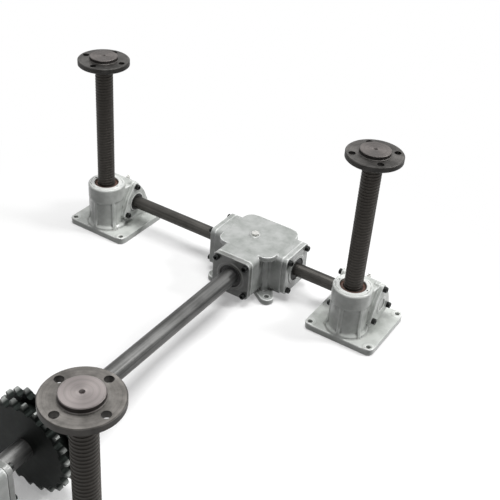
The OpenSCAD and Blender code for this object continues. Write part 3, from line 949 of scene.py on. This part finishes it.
@dataclass
class Gearbox:
    """One T gearbox: its casting, three bearing covers, two bevel gears and their shafts."""

    row: Row
    cover_skin: CastSkin = CastSkin(voxel_mm=1.1, rounds=3, share_kept=0.35)
    name: str = field(init=False)
    place: Matrix = field(init=False)

    def __post_init__(self) -> None:
        """Reads where the CAD model has this gearbox."""
        self.name = self.row.name.lower()
        low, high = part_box(f"through_shaft_{self.name}")
        self.place = stand(middle(low, high), self.row)

    def cover_finish(self, output: Output, node: str) -> EnamelOnSandCastIron:
        """Tells how a bearing cover looks: the one for the long shaft is stained with oil, which is also
        painted shade round the shaft.

        Args:
            output: Which way the cover faces.
            node: The cover's node.

        Returns:
            Its finish.
        """
        if output is not Output.INPUT:
            return ENAMEL
        low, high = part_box(node)
        return replace(ENAMEL, name=f"oil_stained_enamel_{self.name}", oil_and_shade_centre=tuple(middle(low, high)))

    def build(self, skin: bpy.types.Mesh) -> None:
        """Builds the gearbox.

        Args:
            skin: The softened housing, which both gearboxes share.
        """
        add_piece(f"gearbox_casting_{self.name}", skin, self.place, ENAMEL, "frame",
                  f"gearbox_housing_{self.name}")
        for output in Output:
            node = f"gearbox_cover_{self.name}_{output.value}"
            made = self.cover_skin.soften(node, Matrix.Identity(4))
            finish = self.cover_finish(output, node)
            add_piece(f"{node}_casting", made, Matrix.Identity(4), finish, "frame", node)
        for part in ("through_shaft", "bevel_gear", "input_pinion"):
            dress(f"{part}_{self.name}", MILLED_STEEL)
        log.info("gearbox %s is dressed", self.name)


class DriveLine:
    """The long shaft with its chain wheel, and the four cross shafts."""

    def build(self, jacks: Iterable[Jack]) -> None:
        """Dresses the shafts and the chain wheel.

        Args:
            jacks: The jacks that the cross shafts run to.
        """
        dress("long_shaft", TUBE)
        for jack in jacks:
            dress(f"cross_shaft_{jack.name}", BAR)
        low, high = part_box("sprocket")
        dress("sprocket", ChainWornSteel(centre=tuple(middle(low, high))))
        log.info("drive line is dressed")


class SmallParts:
    """The pieces that repeat over the whole set: caps, wipers, bearings, seals, screws and nipples."""

    def build(self) -> None:
        """Dresses each group of small pieces."""
        groups = {
            "bearing_caps": JACK_ENAMEL, "screw_wipers": FELT, "thrust_bearings": GROUND_STEEL,
            "worm_bearings": GROUND_STEEL, "gearbox_bearings": GROUND_STEEL, "shaft_seals": NITRILE,
            "cover_screws": BLACK_SCREWS, "grease_nipples": PLUG, "breather_plugs": PLUG,
        }
        for node, finish in groups.items():
            dress(node, finish)
        log.info("small parts are dressed")


# ---------- studio ----------

@dataclass(frozen=True)
class SoftBox:
    """A square studio lamp that faces the set."""

    name: str
    place: tuple[float, float, float]
    size: float
    watts: float

    def add(self, target: Vector) -> None:
        """Adds the lamp, aimed at a point.

        Args:
            target: The point.
        """
        light = bpy.data.lights.new(self.name, "AREA")
        light.size = self.size
        light.energy = self.watts
        obj = bpy.data.objects.new(self.name, light)
        bpy.context.scene.collection.objects.link(obj)
        obj.location = self.place
        obj.rotation_mode = "QUATERNION"
        obj.rotation_quaternion = (target - Vector(self.place)).to_track_quat("-Z", "Y")


@dataclass
class Studio:
    """Camera, lamps, white surroundings and a pale floor."""

    camera_place: tuple[float, float, float] = (0.8496, -1.5024, 1.2487)
    camera_yaw: float = -30.12
    camera_pitch: float = 34.31
    camera_roll: float = 4.78
    lens_mm: float = 65.56
    clip: tuple[float, float] = (0.01, 50.0)
    floor_size: float = 9.0
    floor_cells: int = 300
    floor_drop: float = 0.0006
    # the floor's own grey, which sets how much light it throws back
    floor_grey: str = "#686868"
    # the floor turns plain white between these distances from the middle of the set
    fade_centre: tuple[float, float, float] = (0.0, -0.45, 0.0)
    fade_start: float = 0.35
    fade_end: float = 1.05
    fade_least: float = 0.3
    # the dip is flat for this far from its middle, then rises over each slope's length
    dip_depth: float = 0.034
    dip_flat: tuple[float, float] = (0.07, 0.05)
    dip_slope: float = 0.3
    dip_front_slope: float = 0.075
    fill: float = 0.05
    lamps: tuple[SoftBox, ...] = (
        SoftBox("overhead_lamp", (0.0, 0.0, 3.0), 1.8, 87.0),
        SoftBox("side_lamp", (2.0, 1.1, 2.2), 0.7, 48.0),
    )
    dip: Vector = field(init=False)

    def __post_init__(self) -> None:
        """Finds the chain wheel, which the floor dips below."""
        low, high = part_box("sprocket")
        self.dip = middle(low, high)

    def add_camera(self) -> None:
        """Adds the camera, which looks down over the front right corner."""
        yaw, pitch, roll = (math.radians(a) for a in (self.camera_yaw, self.camera_pitch, self.camera_roll))
        ahead = math.cos(pitch)
        forward = Vector((math.sin(yaw) * ahead, math.cos(yaw) * ahead, -math.sin(pitch)))
        level = Vector((math.cos(yaw), -math.sin(yaw), 0))
        above = level.cross(forward)
        right = level * math.cos(roll) + above * math.sin(roll)
        up = above * math.cos(roll) - level * math.sin(roll)
        camera = bpy.data.cameras.new("camera")
        camera.lens = self.lens_mm
        camera.clip_start, camera.clip_end = self.clip
        obj = bpy.data.objects.new("camera", camera)
        bpy.context.scene.collection.objects.link(obj)
        turn = Matrix((right, up, -forward)).transposed().to_4x4()
        obj.matrix_world = Matrix.Translation(self.camera_place) @ turn
        bpy.context.scene.camera = obj

    def add_world(self) -> None:
        """Adds white surroundings for the camera and for reflections, and a grey fill for the rest."""
        world = bpy.data.worlds.new("studio")
        bpy.context.scene.world = world
        world.use_nodes = True
        tree = world.node_tree
        tree.nodes.clear()
        strength = add_node(tree, "ShaderNodeMapRange", {"To Min": self.fill, "To Max": 1.0},
                            {"Value": seen_ray(tree)})
        white = add_node(tree, "ShaderNodeBackground", {"Color": linear(WHITE)},
                         {"Strength": strength.outputs["Result"]})
        add_node(tree, "ShaderNodeOutputWorld", links={"Surface": white.outputs[0]})

    def floor_height(self, x: float, y: float) -> float:
        """The floor's height, which dips gently below the chain wheel.

        Args:
            x: The point's X.
            y: The point's Y.

        Returns:
            The height there.
        """
        flat_x, flat_y = self.dip_flat
        across = max(0.0, abs(x - self.dip.x) - flat_x) / self.dip_slope
        behind = max(0.0, y - self.dip.y - flat_y) / self.dip_slope
        before = max(0.0, self.dip.y - y - flat_y) / self.dip_front_slope
        away = min(1.0, math.hypot(across, behind + before))
        return -self.floor_drop - self.dip_depth * (1 - away * away * (3 - 2 * away))

    def add_floor(self) -> None:
        """Adds the pale floor, which fades to white away from the set."""
        def build(bm: bmesh.types.BMesh) -> None:
            """Makes a fine grid and sinks it below the chain wheel.

            Args:
                bm: The bmesh to fill.
            """
            bmesh.ops.create_grid(bm, x_segments=self.floor_cells, y_segments=self.floor_cells,
                                  size=self.floor_size / 2)
            for vertex in bm.verts:
                vertex.co.z = self.floor_height(vertex.co.x, vertex.co.y)

        mesh = mesh_of("floor", build)
        material = bpy.data.materials.new("matt_floor_paint")
        material.use_nodes = True
        tree = material.node_tree
        tree.nodes.clear()
        seen = seen_ray(tree)
        place = add_node(tree, "ShaderNodeTexCoord").outputs["Object"]
        away = add_node(tree, "ShaderNodeVectorMath", {"operation": "DISTANCE", 1: self.fade_centre},
                        {0: place})
        fade = add_node(tree, "ShaderNodeMapRange",
                        {"From Min": self.fade_start, "From Max": self.fade_end, "To Min": self.fade_least,
                         "interpolation_type": "SMOOTHSTEP"},
                        {"Value": away.outputs["Value"]})
        colour = add_node(tree, "ShaderNodeMix",
                          {"data_type": "RGBA", 6: linear(self.floor_grey), 7: linear(WHITE)}, {0: seen})
        paint = add_node(tree, "ShaderNodeBsdfDiffuse", links={"Color": colour.outputs[2]})
        white = add_node(tree, "ShaderNodeEmission", {"Color": linear(WHITE), "Strength": 1.0})
        share = add_node(tree, "ShaderNodeMath", {"operation": "MULTIPLY"},
                         {0: fade.outputs["Result"], 1: seen})
        mixed = add_node(tree, "ShaderNodeMixShader",
                         links={0: share.outputs[0], 1: paint.outputs[0], 2: white.outputs[0]})
        add_node(tree, "ShaderNodeOutputMaterial", links={"Surface": mixed.outputs[0]})
        mesh.materials.append(material)
        floor = bpy.data.objects.new("floor", mesh)
        bpy.context.scene.collection.objects.link(floor)
        floor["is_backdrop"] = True

    def build(self) -> None:
        """Builds the studio."""
        bpy.context.scene.view_settings.view_transform = "Standard"
        self.add_camera()
        self.add_world()
        self.add_floor()
        low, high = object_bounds()
        for lamp in self.lamps:
            lamp.add(middle(low, high))
        log.info("studio is ready")


def seen_ray(tree: bpy.types.NodeTree) -> bpy.types.NodeSocket:
    """Tells the rays that the eye follows, straight or by a reflection, from those that carry light.

    Args:
        tree: The node tree.

    Returns:
        A socket that is 1 for a camera, glossy or transmission ray.
    """
    path = add_node(tree, "ShaderNodeLightPath")
    either = add_node(tree, "ShaderNodeMath", {"operation": "MAXIMUM"},
                      {0: path.outputs["Is Camera Ray"], 1: path.outputs["Is Glossy Ray"]})
    return add_node(tree, "ShaderNodeMath", {"operation": "MAXIMUM"},
                    {0: either.outputs[0], 1: path.outputs["Is Transmission Ray"]}).outputs[0]


def main() -> None:
    """Builds the set in order."""
    logging.basicConfig(level=logging.INFO, format="%(name)s: %(message)s")
    Studio().build()
    jacks = [
        Jack(Row.REAR, Side.LEFT),
        Jack(Row.REAR, Side.RIGHT),
        Jack(Row.FRONT, Side.RIGHT, BRIGHTER_PLATE),
        Jack(Row.FRONT, Side.LEFT),
    ]
    jack_skin = CastSkin().soften(f"jack_housing_{jacks[0].name}", jacks[0].place.inverted())
    thread = TrapezoidThread().mesh()
    for jack in jacks:
        jack.build(jack_skin, thread)
    gearboxes = [Gearbox(row) for row in Row]
    box_skin = CastSkin().soften(f"gearbox_housing_{gearboxes[0].name}", gearboxes[0].place.inverted())
    for gearbox in gearboxes:
        gearbox.build(box_skin)
    DriveLine().build(jacks)
    SmallParts().build()


if __name__ == "__main__":
    main()
